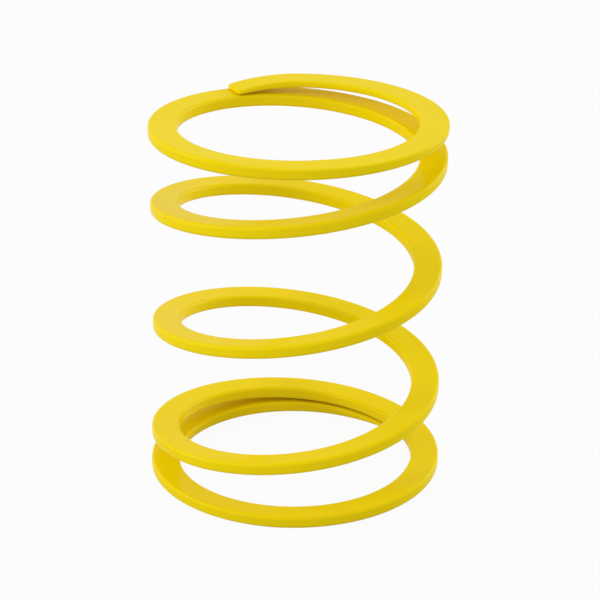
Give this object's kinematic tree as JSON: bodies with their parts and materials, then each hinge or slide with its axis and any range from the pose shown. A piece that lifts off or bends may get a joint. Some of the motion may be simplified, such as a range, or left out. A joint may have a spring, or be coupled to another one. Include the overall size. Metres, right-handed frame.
{
  "type": "helper spring",
  "caption": "Helper spring of flat wire, right-hand wound with closed and ground ends, powder-coated yellow; it keeps a coil-over's main spring seated at full droop.",
  "frame": {"origin": "on the coil's axis, in the plane of the lower ground face", "axes": "+Z along the coil's axis, up from the lower ground face to the upper one; the lower tip of the wire lies 36 degrees from +X towards +Y"},
  "size_m": [0.0806, 0.0806, 0.102],
  "materials": {
    "coat": "satin powder coat"
  },
  "bodies": {
    "root": {"helper_spring": "coat"}
  },
  "joints": []
}
